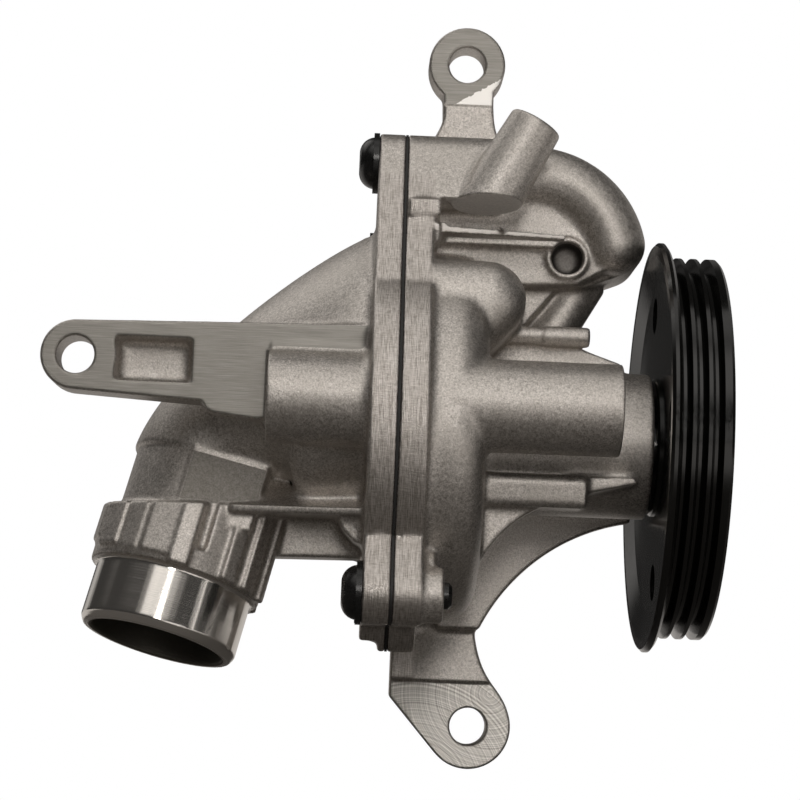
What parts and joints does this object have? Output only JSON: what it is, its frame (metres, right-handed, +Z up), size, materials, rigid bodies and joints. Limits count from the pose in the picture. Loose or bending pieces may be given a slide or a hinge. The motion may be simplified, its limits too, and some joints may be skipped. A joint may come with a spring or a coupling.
{
  "type": "automotive coolant pump",
  "caption": "Belt-driven engine coolant pump: two-shell die-cast body with eyes, hose elbow, outlet chamber, sealed shaft bearing, impeller and ribbed pulley.",
  "frame": {"origin": "on the shaft axis, in the joint face of the front housing", "axes": "+X along the shaft towards the pulley, +Y towards the engine block that the two big eyes bolt to, +Z up"},
  "size_m": [0.1551, 0.0972, 0.1849],
  "materials": {
    "cast_aluminium": "die-cast, bead-blasted satin",
    "gasket_black": "matt elastomer-coated sheet",
    "black_bolt": "black zinc, glossy",
    "dowel_steel": "rolled steel",
    "shaft_steel": "ground bearing steel",
    "bearing_steel": "ground bearing steel",
    "ball_steel": "polished",
    "cage_polymer": "glass-filled polyamide",
    "seal_rubber": "moulded nitrile",
    "case_brass": "drawn brass",
    "spring_steel": "drawn wire",
    "carbon_black": "lapped carbon graphite",
    "ceramic_white": "lapped ceramic",
    "impeller_polymer": "glass-filled polyphenylene sulphide",
    "pulley_black": "black electrophoretic paint, glossy",
    "o_ring_green": "moulded rubber"
  },
  "bodies": {
    "body": {"front_housing": "cast_aluminium", "rear_cover": "cast_aluminium", "joint_gasket": "gasket_black", "cover_bolts": "black_bolt", "dowel_sleeves": "dowel_steel", "bearing_outer_ring": "bearing_steel", "bearing_seal_rear": "seal_rubber", "bearing_seal_front": "seal_rubber", "seal_face_ring": "carbon_black", "seal_bellows": "seal_rubber", "seal_case": "case_brass", "seal_spring": "spring_steel", "outlet_o_ring": "o_ring_green"},
    "rotor": {"pump_shaft": "shaft_steel", "slinger_ring": "seal_rubber", "seal_seat_ring": "ceramic_white", "impeller_insert": "shaft_steel", "impeller": "impeller_polymer", "drive_hub": "pulley_black", "pulley": "pulley_black"},
    "rear_ball_train": {"ball_row_rear": "ball_steel", "ball_cage_rear": "cage_polymer"},
    "front_ball_train": {"ball_row_front": "ball_steel", "ball_cage_front": "cage_polymer"}
  },
  "joints": [
    {"name": "shaft_spin", "type": "hinge", "parent": "body", "child": "rotor", "pos_m": [0, 0, 0], "axis": [1, 0, 0], "continuous": true},
    {"name": "rear_balls_roll", "type": "hinge", "parent": "body", "child": "rear_ball_train", "pos_m": [0.0315, 0, 0], "axis": [1, 0, 0], "continuous": true},
    {"name": "front_balls_roll", "type": "hinge", "parent": "body", "child": "front_ball_train", "pos_m": [0.0475, 0, 0], "axis": [1, 0, 0], "continuous": true}
  ],
  "couplings": [
    {"joint": "rear_balls_roll", "follows": "shaft_spin", "ratio": 0.3583},
    {"joint": "front_balls_roll", "follows": "shaft_spin", "ratio": 0.3583}
  ]
}
